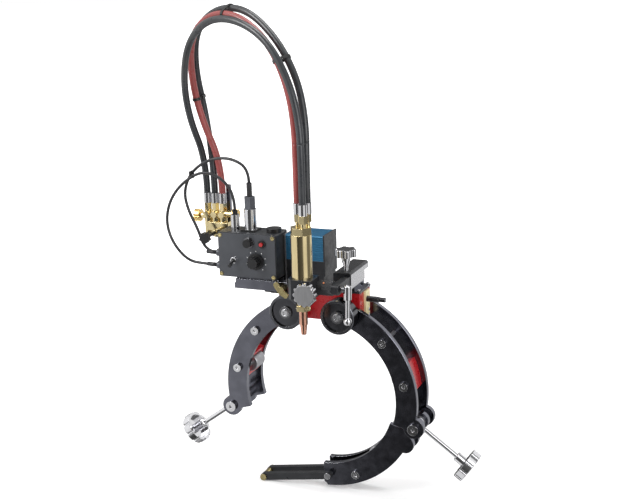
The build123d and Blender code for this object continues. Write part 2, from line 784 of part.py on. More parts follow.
# Vertical star knob of the cross feed, on a shouldered stem
with BuildPart() as feed_knob:
    cyl_z(feed_x, feed_y, carriage_z1 + run_fit, feed_foot_z1, feed_foot_r)
    with BuildSketch(Plane.XY.offset(feed_foot_z1)) as foot:
        with Locations((feed_x, feed_y)):
            Circle(feed_foot_r)
    with BuildSketch(Plane.XY.offset(feed_cone_z1)) as shoulder:
        with Locations((feed_x, feed_y)):
            Circle(feed_stem_r)
    loft([foot.sketch, shoulder.sketch])
    cyl_z(feed_x, feed_y, feed_cone_z1, feed_z0, feed_stem_r)
    with BuildSketch(Plane.XY.offset(feed_z0)):
        with Locations((feed_x, feed_y)):
            Circle(feed_r)
            with PolarLocations(feed_lobe_circle_r, 6):
                Circle(feed_lobe_r)
    extrude(amount=feed_z1 - feed_z0)
    fillet(feed_knob.faces().sort_by(Axis.Z)[-1].edges(), feed_round)
save(feed_knob, "feed_knob")

# Arm bar from the carriage out to the tilt pivot
with BuildPart() as arm_bar:
    brick(arm_x0, arm_x1, arm_y0, carriage_y0, arm_z0, arm_z1)
    fillet(arm_bar.edges().filter_by(Axis.X).group_by(Axis.Y)[0], arm_nose)
    cyl_x(pivot_y, pivot_z, arm_x0, arm_x1, pivot_bolt_r + run_fit, Mode.SUBTRACT)
save(arm_bar, "arm_bar")

# Tilt pivot: a knurled barrel fixed to the torch holder, with its bolt through the arm bar
with BuildPart() as tilt_pivot:
    with BuildSketch(Plane.YZ.offset(holder_x1)) as knurled:
        with Locations((pivot_y, pivot_z)):
            Circle(pivot_r)
            with PolarLocations(pivot_r, pivot_knurls):
                Circle(pivot_knurl_r, mode=Mode.SUBTRACT)
    extrude(knurled.sketch, amount=arm_x0 - side_gap - holder_x1)
    cyl_x(pivot_y, pivot_z, holder_x1, lever_x0, pivot_bolt_r)
save(tilt_pivot, "tilt_pivot")

# Clamp lever with its ball
with BuildPart() as clamp_lever:
    cyl_x(pivot_y, pivot_z, lever_x0 + side_gap, lever_rod_x, lever_stub_r)
    lean_y = math.sin(math.radians(lever_lean_deg))
    lean_z = math.cos(math.radians(lever_lean_deg))
    hang = Plane(origin=(lever_rod_x, pivot_y, pivot_z), x_dir=(1, 0, 0), z_dir=(0, -lean_y, -lean_z))
    cyl_along(hang, -lever_hub_up, lever_hub_down, lever_hub_r)
    fillet(clamp_lever.edges().filter_by(GeomType.CIRCLE).sort_by(Axis.Z)[-1], feed_round)
    cyl_along(hang, 0, lever_len, lever_rod_r)
    with Locations((lever_rod_x, pivot_y - lever_drop * lean_y, pivot_z - lever_drop * lean_z)):
        Sphere(lever_ball_r)
save(clamp_lever, "clamp_lever")

# Torch holder with the counterbored torch bore and the pinion bore
with BuildPart() as holder:
    brick(holder_x0, holder_x1, holder_y0, holder_y1, holder_z0, holder_z1)
    chamfer(holder.edges().filter_by(Axis.Z).group_by(Axis.X)[-1], holder_edge)
    chamfer(holder.edges().filter_by(Axis.Z).group_by(Axis.X)[0], holder_bevel)
    cyl_z(torch_x, torch_y, holder_z0 - overrun, holder_counter_z, tube_r + run_fit, Mode.SUBTRACT)
    cyl_z(torch_x, torch_y, holder_counter_z, holder_z1 + overrun, barrel_r + run_fit, Mode.SUBTRACT)
    cyl_y(pinion_x, pinion_z, holder_y0 - overrun, pinion_y1, pinion_bore_r, Mode.SUBTRACT)
save(holder, "torch_holder")

# Pinion shaft with the lobed hand knob
with BuildPart() as pinion:
    cyl_y(pinion_x, pinion_z, knob_y0, pinion_y1 - side_gap, pinion_shaft_r)
    cyl_y(pinion_x, pinion_z, pinion_gear_y0, pinion_y1 - side_gap, pinion_r)
    cyl_y(pinion_x, pinion_z, holder_y0, pinion_gear_y0 - pinion_relief, pinion_bore_r - run_fit)
    with BuildSketch(Plane.XZ.offset(-knob_y1)) as lobes:
        with Locations((pinion_x, pinion_z)):
            Circle(pin_knob_r)
            with PolarLocations(pin_knob_lobe_circle_r, pin_knob_lobes):
                Circle(pin_knob_lobe_r)
    extrude(lobes.sketch, amount=knob_y1 - knob_y0)
    cyl_y(pinion_x, pinion_z, knob_y0 - pin_knob_face_h, knob_y0, pin_knob_face_r)
save(pinion, "pinion_knob")

# Torch: barrel with the gas collar above, and the rack tube below
with BuildPart() as torch:
    cyl_z(torch_x, torch_y, barrel_z0, barrel_z1, barrel_r)
    cyl_z(torch_x, torch_y, nut_z1, barrel_z0, tube_r)
    hex_z(torch_x, torch_y, barrel_z1, gas_collar_z1, gas_collar_r)
    for tooth in range(rack_teeth):
        tz = rack_z0 + tooth * rack_pitch
        brick(torch_x + tube_r - rack_depth, torch_x + tube_r + overrun, torch_y - rack_half,
              torch_y + rack_half, tz, tz + rack_pitch / 2, Mode.SUBTRACT)
save(torch, "torch_barrel")

with BuildPart() as nozzle_nut:
    hex_z(torch_x, torch_y, nut_z0, nut_z1, nut_r)
save(nozzle_nut, "nozzle_nut")

with BuildPart() as nozzle:
    with BuildSketch(Plane.XZ) as half:
        with BuildLine():
            Polyline(
                (0, nozzle_tip_z),
                (nozzle_tip_r, nozzle_tip_z),
                (nozzle_mid_r, nozzle_cone_z),
                (nozzle_top_r, nozzle_cone_z + nozzle_step),
                (nozzle_top_r, nut_z0),
                (0, nut_z0),
                close=True,
            )
        make_face()
    add(Pos(torch_x, torch_y, 0) * revolve(half.sketch, axis=Axis.Z, mode=Mode.PRIVATE))
    cyl_z(torch_x, torch_y, nozzle_tip_z, nozzle_tip_z + nozzle_bore_depth, nozzle_bore_r, Mode.SUBTRACT)
save(nozzle, "torch_nozzle")

# Gas inlets of the torch: stub, nut and ferrule for each hose
with BuildPart() as torch_inlets:
    for px, py, nut in gas_ports:
        cyl_z(torch_x + px, torch_y + py, gas_nut_z0, ferrule_z1, gas_stub_r)
        hex_z(torch_x + px, torch_y + py, gas_nut_z1, gas_nut_z2, nut)
        cyl_z(torch_x + px, torch_y + py, gas_nut_z2, ferrule_z1, ferrule_r)
save(torch_inlets, "torch_inlets")

# Power box: black base with its end plate, blue cover with ribs along X, panel with display and port
with BuildPart() as power_base:
    brick(power_x0 + power_panel_t, power_x1, power_y0, power_y1, top_z, power_z1)
    brick(power_x1, power_x1 + power_end_t, power_y0, power_y1, power_end_z0, power_z2 + power_end_lip)
save(power_base, "power_base")

with BuildPart() as power_cover:
    brick(power_x0 + power_panel_t, power_x1, power_y0, power_y1, power_z1, power_z2)
    fillet(power_cover.edges().filter_by(Axis.X).group_by(Axis.Z)[-1], power_edge)
    across = power_y1 - power_y0
    ribs = int((across - 2 * power_edge) / rib_pitch)
    for rib in range(ribs + 1):
        ry = power_y0 + power_edge + rib * rib_pitch
        brick(power_x0, power_x1 + overrun, ry, ry + rib_w, power_z2 - rib_depth, power_z2 + overrun,
              Mode.SUBTRACT)
    for rib in range(int((power_z2 - power_z1 - 2 * power_edge) / rib_pitch) + 1):
        rz = power_z1 + rib_w + rib * rib_pitch
        brick(power_x0, power_x1 + overrun, power_y0 - overrun, power_y0 + rib_depth, rz, rz + rib_w,
              Mode.SUBTRACT)
        brick(power_x0, power_x1 + overrun, power_y1 - rib_depth, power_y1 + overrun, rz, rz + rib_w,
              Mode.SUBTRACT)
save(power_cover, "power_cover")

with BuildPart() as power_panel:
    brick(power_x0, power_x0 + power_panel_t, power_y0, power_y1, top_z, power_z2)
    brick(power_x0 - display_h, power_x0, display_y0, display_y1, display_z0, display_z1)
    cyl_x(port_y, port_z, power_x0 - port_h, power_x0, port_r)
    cyl_x(rocker_y, rocker_z, power_x0 - rocker_bezel_h, power_x0, rocker_bezel_r)
    cyl_x(rocker_y, rocker_z, power_x0 - rocker_bezel_h, power_x0, rocker_r + side_gap, Mode.SUBTRACT)
save(power_panel, "power_panel")

# Round rocker of the power switch
with BuildPart() as rocker:
    cyl_x(rocker_y, rocker_z, power_x0 - rocker_bezel_h - rocker_h, power_x0 - rocker_lift, rocker_r)
    brick(power_x0 - rocker_bezel_h - 2 * rocker_h, power_x0 - rocker_bezel_h - rocker_h + rocker_dip,
          rocker_y - rocker_r, rocker_y + rocker_r, rocker_z - rocker_dip, rocker_z + rocker_dip,
          Mode.SUBTRACT)
save(rocker, "power_rocker")

# Tray with its leg on the top plate, front lip, rail and the post of the manifold
with BuildPart() as tray:
    brick(tray_x0, tray_x1, tray_y0, tray_y1, tray_z0, tray_z1)
    brick(post_arm_x0, tray_x0, post_arm_y0, post_arm_y1, tray_z0, tray_z1)
    brick(leg_x0, leg_x1, -leg_y, leg_y, top_z, tray_z0)
    brick(lip_x0, lip_x1, rail_y0, tray_y0, rail_z1, lip_z1)
    brick(rail_x0, lip_x1, rail_y0, tray_y0, rail_z0, rail_z1)
    brick(post_x0, post_x1, post_y0, post_y1, tray_z1, post_z1)
    cyl_y(wing_x, wing_z, rail_y0, tray_y0, wing_bolt_r + run_fit, Mode.SUBTRACT)
save(tray, "carrier_tray")

# Wing nut on its bolt at the right end of the rail
with BuildPart() as wing_nut:
    cyl_y(wing_x, wing_z, wing_y0, tray_y0, wing_bolt_r)
    cyl_y(wing_x, wing_z, wing_y0, wing_y1 - run_fit, wing_hub_r)
    for side in (-1, 1):
        out_x, out_z = polar(side * wing_span / 4, wing_turn_deg)
        lean = wing_turn_deg + side * wing_lean_deg
        with BuildSketch(Plane.XZ.offset(-wing_mid_y - wing_t / 2)) as wing:
            with Locations(Location((wing_x + out_x, wing_z + out_z, 0), (0, 0, lean))):
                RectangleRounded(wing_span / 2, wing_h, wing_h / 2 - wing_t / 4)
        extrude(wing.sketch, amount=wing_t)
save(wing_nut, "wing_nut")

# Control box: a shell open at the front, closed by the panel
with BuildPart() as shell:
    brick(box_x0, box_x1, box_y0, box_y1, tray_z1, box_z1)
    fillet(shell.edges().filter_by(Axis.Y), box_edge)
    brick(box_x0 + box_wall, box_x1 - box_wall, box_y0 - overrun, box_y1 - box_wall, tray_z1 + box_wall,
          box_z1 - box_wall, Mode.SUBTRACT)
save(shell, "control_box")

with BuildPart() as panel:
    brick(box_x0 + face_inset, box_x1 - face_inset, box_y0 - face_t, box_y0, tray_z1 + face_inset,
          box_z1 - face_inset)
    face_y = box_y0 - face_t
    for sx in (box_x0 + face_screw_inset, box_x1 - face_screw_inset):
        for sz in (tray_z1 + face_screw_inset, box_z1 - face_screw_inset):
            cyl_y(sx, sz, face_y - small_head_h, face_y, face_rivet_r)
            brick(sx - face_rivet_r, sx + face_rivet_r, face_y - small_head_h, face_y - small_head_h / 2,
                  sz - small_slot / 2, sz + small_slot / 2, Mode.SUBTRACT)
    cyl_y(fuse_x, fuse_z, face_y - fuse_ring_h, face_y, fuse_ring_r)
    cyl_y(fuse_x, fuse_z, face_y - fuse_h, face_y, fuse_r)
    cyl_y(lamp_x, lamp_z, face_y - lamp_bezel_h, face_y, lamp_bezel_r)
    cyl_y(lamp_x, lamp_z, face_y - lamp_h, face_y, lamp_r)
    with BuildSketch(Plane.XZ.offset(-face_y)) as toggle_nut:
        with Locations((toggle_x, toggle_z)):
            RegularPolygon(toggle_nut_r, 6)
            Circle(toggle_ball_r + 2 * side_gap, mode=Mode.SUBTRACT)
    extrude(toggle_nut.sketch, amount=toggle_nut_h)
    for dot in range(speed_dots):
        dot_x, dot_z = polar(speed_dot_circle_r, speed_dot_start + dot * speed_dot_step)
        cyl_y(speed_x + dot_x, speed_z + dot_z, face_y - speed_dot_h, face_y, speed_dot_r)
save(panel, "control_panel")

with BuildPart() as speed_knob:
    cyl_y(speed_x, speed_z, face_y - side_gap - speed_skirt_h, face_y - side_gap, speed_skirt_r)
    with BuildSketch(Plane.XZ.offset(-face_y + side_gap)) as grip:
        with Locations((speed_x, speed_z)):
            Circle(speed_grip_r)
            with PolarLocations(speed_grip_r, speed_grips):
                Circle(speed_grip_cut, mode=Mode.SUBTRACT)
    extrude(grip.sketch, amount=speed_h)
save(speed_knob, "speed_knob")

# Toggle lever, leaning down, on a ball in its nut
with BuildPart() as toggle:
    with Locations((toggle_x, face_y - toggle_ball_r - side_gap, toggle_z)):
        Sphere(toggle_ball_r)
    lean_y = math.cos(math.radians(toggle_lean_deg))
    lean_z = math.sin(math.radians(toggle_lean_deg))
    lever = Plane(origin=(toggle_x, face_y - toggle_ball_r - side_gap, toggle_z), x_dir=(1, 0, 0),
                  z_dir=(0, -lean_y, lean_z))
    with BuildSketch(lever):
        Circle(toggle_r0)
    with BuildSketch(lever.offset(toggle_len)):
        Circle(toggle_r1)
    loft()
save(toggle, "toggle_lever")

# Connectors and blank cap on top of the control box, glands on its left side
with BuildPart() as fittings:
    big_x, small_x = plug_x
    brick(big_x - plug_flange / 2, big_x + plug_flange / 2, plug_y - plug_flange / 2,
          plug_y + plug_flange / 2, box_z1, box_z1 + plug_flange_t)
    cyl_z(big_x, plug_y, box_z1, plug_body_z1, plug_body_r)
    hex_z(big_x, plug_y, plug_body_z1, plug_nut_z1, plug_nut_r)
    cyl_z(big_x, plug_y, plug_nut_z1, plug_sleeve_z1, plug_sleeve_r)
    cyl_z(small_x, plug_y, box_z1, plug_small_z1, plug_small_r)
    cyl_z(small_x, plug_y, plug_small_z1, plug_small_sleeve_z1, plug_sleeve_r)
    cyl_z(cap_x, cap_y, box_z1, cap_z1, cap_r)
    for gz in gland_z:
        cyl_x(gland_y, gz, box_x0 - gland_nut_len, box_x0, gland_r)
        cyl_x(gland_y, gz, box_x0 - gland_nut_len - gland_dome_len, box_x0 - gland_nut_len, gland_dome_r)
save(fittings, "box_fittings")


# Handwheel outline: a disc with flutes around its rim
def fluted(radius):
    Circle(radius)
    with PolarLocations(radius, wheel_flutes):
        Circle(wheel_flute_r, mode=Mode.SUBTRACT)


# Gas manifold: block with three valve bodies, unions and ferrules
with BuildPart() as manifold:
    brick(block_x0, block_x1, bar_y0, bar_y1, bar_z0, bar_z1)
    chamfer(manifold.edges().filter_by(Axis.X), house_edge)
    for gx in gas_x:
        cyl_z(gx, gas_y, block_z0, block_z1, gas_column_r)
        cyl_z(gx, gas_y, gas_foot_z0, block_z0, gas_foot_r)
        cyl_z(gx, gas_y, gas_body_z0, gas_union_z0, gas_body_r)
        cyl_y(gx, gas_cross_z, block_y0, block_y1, gas_cross_r)
        hex_z(gx, gas_y, gas_union_z0, gas_ferrule_z0, gas_union_r)
        cyl_z(gx, gas_y, gas_ferrule_z0, gas_ferrule_z1, ferrule_r)
    cyl_x(gas_y, wheel_l_z, wheel_l_x + wheel_l_w / 2 + side_gap, gas_x[0], gas_neck_r)
    cyl_x(gas_y, wheel_r_z - gas_neck_drop, gas_x[2], wheel_r_x - wheel_r_w / 2 - side_gap, gas_neck_r)
    cyl_y(brass_x, brass_z, block_y0 - brass_len, bar_y0, brass_r)
    cyl_y(knob_x, knob_z, block_y0 - gas_neck_len, bar_y0, gas_neck_r)
    cyl_x(gas_y, wheel_l_z, wheel_l_x, gas_x[0], spindle_r + run_fit, Mode.SUBTRACT)
    cyl_x(gas_y, wheel_r_z - gas_neck_drop, gas_x[2], wheel_r_x, spindle_r + run_fit, Mode.SUBTRACT)
    cyl_y(knob_x, knob_z, knob_back_y, block_y0, knob_stem_r + run_fit, Mode.SUBTRACT)
save(manifold, "gas_manifold")

with BuildPart() as handwheel_left:
    with BuildSketch(Plane.YZ.offset(wheel_l_x - wheel_l_w / 2)):
        with Locations((gas_y, wheel_l_z)):
            fluted(wheel_l_r)
    extrude(amount=wheel_l_w)
    cyl_x(gas_y, wheel_l_z, wheel_l_x - wheel_l_w / 2 - wheel_flute_r, wheel_l_x, gas_neck_r)
    cyl_x(gas_y, wheel_l_z, wheel_l_x, gas_x[0] - gas_neck_drop, spindle_r)
save(handwheel_left, "handwheel_left")

with BuildPart() as handwheel_right:
    with BuildSketch(Plane.YZ.offset(wheel_r_x - wheel_r_w / 2)):
        with Locations((gas_y, wheel_r_z - gas_neck_drop)):
            fluted(wheel_r_r)
    extrude(amount=wheel_r_w)
    cyl_x(gas_y, wheel_r_z - gas_neck_drop, wheel_r_x, wheel_r_x + wheel_r_w / 2 + wheel_flute_r,
          gas_neck_r)
    cyl_x(gas_y, wheel_r_z - gas_neck_drop, gas_x[2] + gas_neck_drop, wheel_r_x, spindle_r)
save(handwheel_right, "handwheel_right")

with BuildPart() as manifold_knob:
    with BuildSketch(Plane.XZ.offset(-knob_back_y)):
        with Locations((knob_x, knob_z)):
            fluted(knob_r)
    extrude(amount=knob_back_y - knob_front_y)
    cyl_y(knob_x, knob_z, knob_back_y, block_y0 - run_fit, knob_stem_r)
save(manifold_knob, "manifold_knob")

# Gas hoses, each laid over the arch in three lengths joined in the middle of straight runs,
# and the two cables of the control box. Corner points were chosen by hand.
hose_routes = {
    "red": [
        (0.7, -91, 300), (0.7, -91, 350), (-2, -86, 410), (-16, -77, 463), (-48, -61, 514),
        (-98, -44, 548), (-150, -29, 549), (-190, -15, 515), (-197, -4, 455), (-188, 4, 395),
        (-164, 12, 330), (-164, 12, 284),
    ],
    "middle": [
        (12, -100, 300), (12, -100, 352), (9, -95, 410), (-8, -86, 464), (-42, -75, 516),
        (-92, -62, 543), (-144, -47, 543), (-184, -33, 511), (-201, -22, 457), (-201, -10, 398),
        (-189, 12, 335), (-189, 12, 284),
    ],
    "outer": [
        (13.3, -86, 300), (13.3, -86, 352), (11.5, -79, 410), (-4, -67, 466), (-40, -51, 518),
        (-92, -32, 556), (-146, -15, 556), (-186, -3, 526), (-197, 8, 470), (-190, 22, 400),
        (-176.5, 12, 325), (-176.5, 12, 284),
    ],
}
cable_routes = {
    "long": [
        (-102, -25, 310), (-102, -25, 331), (-130, -24, 345), (-165, -23, 342), (-197, -22, 321),
        (-211, -21, 290), (-205, -20, 261), (-193, -18, 236), (-177, -25, 203), (-158, -25, 203),
    ],
    "short": [
        (-126.5, -25, 268), (-126.5, -25, 290), (-143, -26, 314), (-173, -28, 325), (-204, -29, 309),
        (-229, -29, 282), (-240, -28, 247), (-232, -27, 214), (-208, -26, 187), (-180, -25, 184),
        (-158, -25, 184),
    ],
}


def corner_radii(points):
    radii = []
    for before, here, after in zip(points, points[1:], points[2:]):
        run_in = Vector(*here) - Vector(*before)
        run_out = Vector(*after) - Vector(*here)
        half_turn = math.radians(run_in.get_angle(run_out)) / 2
        radii.append(run_share * min(run_in.length, run_out.length) / math.tan(half_turn))
    return radii


def midway(first, second):
    return tuple((a + b) / 2 for a, b in zip(first, second))


def tube(points, radii, radius):
    with BuildPart() as hose:
        with BuildLine():
            route = FilletPolyline(*points, radius=radii)
        with BuildSketch(route ^ 0):
            Circle(radius)
        sweep(path=route)
    ideal = math.pi * radius**2 * route.length
    print("tube length", round(route.length, 1), "volume share", round(hose.part.volume / ideal, 4))
    return hose.part


# Strap around two neighbouring tubes, square to the first one's run
def strap(first, second, radius):
    here, there = midway(*first), midway(*second)
    along = (Vector(*first[1]) - Vector(*first[0])).normalized()
    across = Vector(*there) - Vector(*here)
    across = across - along * across.dot(along)
    centre = Vector(*here) + across / 2
    frame = Plane(origin=centre - along * strap_w / 2, x_dir=across, z_dir=along)
    with BuildPart() as band:
        with BuildSketch(frame):
            SlotCenterToCenter(across.length, 2 * (radius + side_gap + strap_t))
            SlotCenterToCenter(across.length, 2 * (radius + side_gap), mode=Mode.SUBTRACT)
        extrude(amount=strap_w)
    return band.part


lengths = {"torch": [], "arch": [], "manifold": []}
for name, points in hose_routes.items():
    points = [tuple(scale * value for value in point) for point in points]
    radii = corner_radii(points)
    print(name, "hose radii", [round(radius) for radius in radii])
    low, high = midway(points[1], points[2]), midway(points[6], points[7])
    lengths["torch"].append(tube(points[:2] + [low], radii[:1], hose_r))
    lengths["arch"].append(tube([low] + points[2:7] + [high], radii[1:6], hose_r))
    lengths["manifold"].append(tube([high] + points[7:], radii[6:], hose_r))
red = [tuple(scale * value for value in point) for point in hose_routes["red"]]
outer = [tuple(scale * value for value in point) for point in hose_routes["outer"]]
for share in arch_strap_shares:
    start = int(share * len(red))
    lengths["arch"].append(strap(red[start:start + 2], outer[start:start + 2], hose_r))
start = int(low_strap_share * len(red))
lengths["manifold"].append(strap(red[start:start + 2], outer[start:start + 2], hose_r))
for name, pieces in lengths.items():
    with BuildPart() as hoses:
        for piece in pieces:
            add(piece)
    save(hoses, "hoses_" + name)

with BuildPart() as cables:
    for name, points in cable_routes.items():
        points = [tuple(scale * value for value in point) for point in points]
        radii = corner_radii(points)
        print(name, "cable radii", [round(radius) for radius in radii])
        add(tube(points, radii, cable_r))
save(cables, "cables")
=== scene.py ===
"""Looks of the orbital pipe flame cutter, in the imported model's frame. Metres."""

import math

import bpy
from mathutils import Matrix, Vector


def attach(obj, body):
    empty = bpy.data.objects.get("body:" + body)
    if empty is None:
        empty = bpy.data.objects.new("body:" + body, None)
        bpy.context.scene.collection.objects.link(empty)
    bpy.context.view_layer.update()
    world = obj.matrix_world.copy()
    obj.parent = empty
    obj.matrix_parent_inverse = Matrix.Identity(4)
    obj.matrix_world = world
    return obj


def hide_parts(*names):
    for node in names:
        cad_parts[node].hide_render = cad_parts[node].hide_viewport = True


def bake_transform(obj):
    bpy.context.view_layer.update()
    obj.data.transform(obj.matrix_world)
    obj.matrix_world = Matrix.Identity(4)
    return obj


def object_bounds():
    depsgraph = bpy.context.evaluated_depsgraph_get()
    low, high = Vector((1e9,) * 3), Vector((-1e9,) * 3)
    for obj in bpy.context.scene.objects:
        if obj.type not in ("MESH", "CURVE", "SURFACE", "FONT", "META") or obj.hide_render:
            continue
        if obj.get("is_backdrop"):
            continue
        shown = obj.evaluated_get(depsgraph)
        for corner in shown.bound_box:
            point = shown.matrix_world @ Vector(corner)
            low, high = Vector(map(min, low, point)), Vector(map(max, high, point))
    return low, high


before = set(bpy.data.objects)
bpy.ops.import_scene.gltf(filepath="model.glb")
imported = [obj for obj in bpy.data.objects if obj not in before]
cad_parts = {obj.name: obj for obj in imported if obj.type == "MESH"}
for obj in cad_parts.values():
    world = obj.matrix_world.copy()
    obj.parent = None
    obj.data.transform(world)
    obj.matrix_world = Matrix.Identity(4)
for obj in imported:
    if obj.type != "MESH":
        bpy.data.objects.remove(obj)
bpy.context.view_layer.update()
scene = bpy.context.scene
MM = 0.001

# Camera, as the photograph was taken
CAMERA_AT = Vector((0.611314, -1.515091, 0.635028))
CAMERA_AHEAD = Vector((-0.364752, 0.896659, -0.250917))
CAMERA_UP = Vector((-0.069364, 0.242567, 0.967652))
forward = CAMERA_AHEAD.normalized()
side = forward.cross(CAMERA_UP).normalized()
upward = side.cross(forward).normalized()
camera_data = bpy.data.cameras.new("camera")
camera_data.lens = 65.8
camera_data.sensor_width = 36.0
camera_data.sensor_fit = "HORIZONTAL"
camera_data.clip_end = 50.0
camera = bpy.data.objects.new("camera", camera_data)
camera.matrix_world = Matrix.Translation(CAMERA_AT) @ Matrix((side, upward, -forward)).transposed().to_4x4()
scene.collection.objects.link(camera)
scene.camera = camera

# Hose and cable routes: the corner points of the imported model, in millimetres
HOSES = {
    "red": [
        (0.7, -91, 300), (0.7, -91, 350), (-2, -86, 410), (-16, -77, 463), (-48, -61, 514),
        (-98, -44, 548), (-150, -29, 549), (-190, -15, 515), (-197, -4, 455), (-188, 4, 395),
        (-164, 12, 330), (-164, 12, 284),
    ],
    "middle": [
        (12, -100, 300), (12, -100, 352), (9, -95, 410), (-8, -86, 464), (-42, -75, 516),
        (-92, -62, 543), (-144, -47, 543), (-184, -33, 511), (-201, -22, 457), (-201, -10, 398),
        (-189, 12, 335), (-189, 12, 284),
    ],
    "outer": [
        (13.3, -86, 300), (13.3, -86, 352), (11.5, -79, 410), (-4, -67, 466), (-40, -51, 518),
        (-92, -32, 556), (-146, -15, 556), (-186, -3, 526), (-197, 8, 470), (-190, 22, 400),
        (-176.5, 12, 325), (-176.5, 12, 284),
    ],
}
CABLES = {
    "long": [
        (-102, -25, 310), (-102, -25, 331), (-130, -24, 345), (-165, -23, 342), (-197, -22, 321),
        (-211, -21, 290), (-205, -20, 261), (-193, -18, 236), (-177, -25, 203), (-158, -25, 203),
    ],
    "short": [
        (-126.5, -25, 268), (-126.5, -25, 290), (-143, -26, 314), (-173, -28, 325), (-204, -29, 309),
        (-229, -29, 282), (-240, -28, 247), (-232, -27, 214), (-208, -26, 187), (-180, -25, 184),
        (-158, -25, 184),
    ],
}
# Part of each hose, with the bodies that carry its two ends
STAGES = (("torch", "torch", "holder"), ("arch", "holder", "carriage"), ("manifold", "carriage", "frame"))
HOSE_R, CABLE_R, SLEEVE_R = 5 * MM, 2.2 * MM, 3.2 * MM
SLEEVE_LEVELS = (203, 184)
ARCH_STRAPS, MANIFOLD_STRAP = (3, 5), 8
STRAP_SIDES = 32


def metres(points):
    return [Vector(p) * MM for p in points]


def midway(a, b):
    return (a + b) / 2


def route_points(points):
    """Points along the smooth line that rounds off the corners of a route."""
    data = bpy.data.curves.new("route", "CURVE")
    data.dimensions = "3D"
    data.resolution_u = 16
    spline = data.splines.new("NURBS")
    spline.points.add(len(points) - 1)
    for slot, p in zip(spline.points, points):
        slot.co = (*p, 1)
    spline.order_u = 3
    spline.use_endpoint_u = True
    obj = bpy.data.objects.new("route", data)
    scene.collection.objects.link(obj)
    mesh = bpy.data.meshes.new_from_object(obj)
    found = [v.co.copy() for v in mesh.vertices]
    bpy.data.meshes.remove(mesh)
    bpy.data.objects.remove(obj)
    return found


def frames(points):
    """Right-angled frames along points, turned as little as possible from one to the next."""
    made = []
    last = Vector((0, -1, 0))
    for i, p in enumerate(points):
        ahead = points[min(i + 1, len(points) - 1)] - points[max(i - 1, 0)]
        ahead.normalize()
        across = (last - ahead * last.dot(ahead)).normalized()
        made.append((p, across, ahead.cross(across)))
        last = across
    return made


def mesh_object(name, verts, faces, smooth=True):
    data = bpy.data.meshes.new(name)
    data.from_pydata([tuple(v) for v in verts], [], faces)
    data.polygons.foreach_set("use_smooth", [smooth] * len(data.polygons))
    data.update()
    obj = bpy.data.objects.new(name, data)
    scene.collection.objects.link(obj)
    return obj


def tube(name, points, radius, around=20):
    """Closed round tube along points."""
    verts, faces = [], []
    rings = frames(points)
    for p, u, w in rings:
        for k in range(around):
            turn = 2 * math.pi * k / around
            verts.append(p + (u * math.cos(turn) + w * math.sin(turn)) * radius)
    for i in range(len(rings) - 1):
        for k in range(around):
            a, b = i * around + k, i * around + (k + 1) % around
            faces.append((a, b, b + around, a + around))
    faces.append(tuple(reversed(range(around))))
    faces.append(tuple(range((len(rings) - 1) * around, len(rings) * around)))
    return mesh_object(name, verts, faces)


def strap(name, first, second, radius):
    """Zip strap round two neighbouring tubes, with its lock."""
    here, there = midway(*first), midway(*second)
    along = (first[1] - first[0]).normalized()
    across = there - here
    across -= along * across.dot(along)
    centre, half = here + across / 2, across.length / 2
    u = across.normalized()
    w = along.cross(u)
    outline = []
    for k in range(STRAP_SIDES):
        turn = 2 * math.pi * k / STRAP_SIDES
        outline.append((math.cos(turn), math.sin(turn), half if math.cos(turn) > 0 else -half))
    inner, outer = radius + 0.1 * MM, radius + min(1.2 * MM, 0.3 * radius)
    wide = min(2 * MM, 0.6 * radius)
    verts, faces = [], []
    for r, z in ((inner, -wide), (outer, -wide), (outer, wide), (inner, wide)):
        verts += [centre + u * (c * r + d) + w * (s * r) + along * z for c, s, d in outline]
    for ring in range(4):
        a, b = ring * STRAP_SIDES, (ring + 1) % 4 * STRAP_SIDES
        for k in range(STRAP_SIDES):
            n = (k + 1) % STRAP_SIDES
            faces.append((a + k, a + n, b + n, b + k))
    a = len(verts)
    for z in (-1.3 * wide, 1.3 * wide):
        for x, y in ((-2.6, 0.2), (2.6, 0.2), (2.6, 3.4), (-2.6, 3.4)):
            verts.append(centre + u * (x * MM) + w * (radius + y * MM) + along * z)
    faces += [(a, a + 3, a + 2, a + 1), (a + 4, a + 5, a + 6, a + 7)]
    faces += [(a + k, a + (k + 1) % 4, a + 4 + (k + 1) % 4, a + 4 + k) for k in range(4)]
    return mesh_object(name, verts, faces, smooth=False)


# Gas hoses, each in the three parts that its joints ask for
hose_parts = []
for colour, corners in HOSES.items():
    pts = metres(corners)
    low, high = midway(pts[1], pts[2]), midway(pts[6], pts[7])
    pieces = {"torch": pts[:2] + [low], "arch": [low] + pts[2:7] + [high], "manifold": [high] + pts[7:]}
    for stage, first, second in STAGES:
        path = route_points(pieces[stage])
        hose = tube(f"hose_{colour}_{stage}", path, HOSE_R)
        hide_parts(f"hoses_{stage}")
        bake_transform(hose)
        hose_parts.append((colour, hose))

# Straps that hold the red hose to the outer one
red, outer = metres(HOSES["red"]), metres(HOSES["outer"])
straps = []
low, high = midway(red[1], red[2]), midway(red[6], red[7])
for i in ARCH_STRAPS:
    band = strap(f"hose_strap_{i}", red[i:i + 2], outer[i:i + 2], HOSE_R)
    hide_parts("hoses_arch")
    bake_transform(band)
    straps.append(band)
i = MANIFOLD_STRAP
band = strap(f"hose_strap_{i}", red[i:i + 2], outer[i:i + 2], HOSE_R)
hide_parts("hoses_manifold")
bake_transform(band)
straps.append(band)

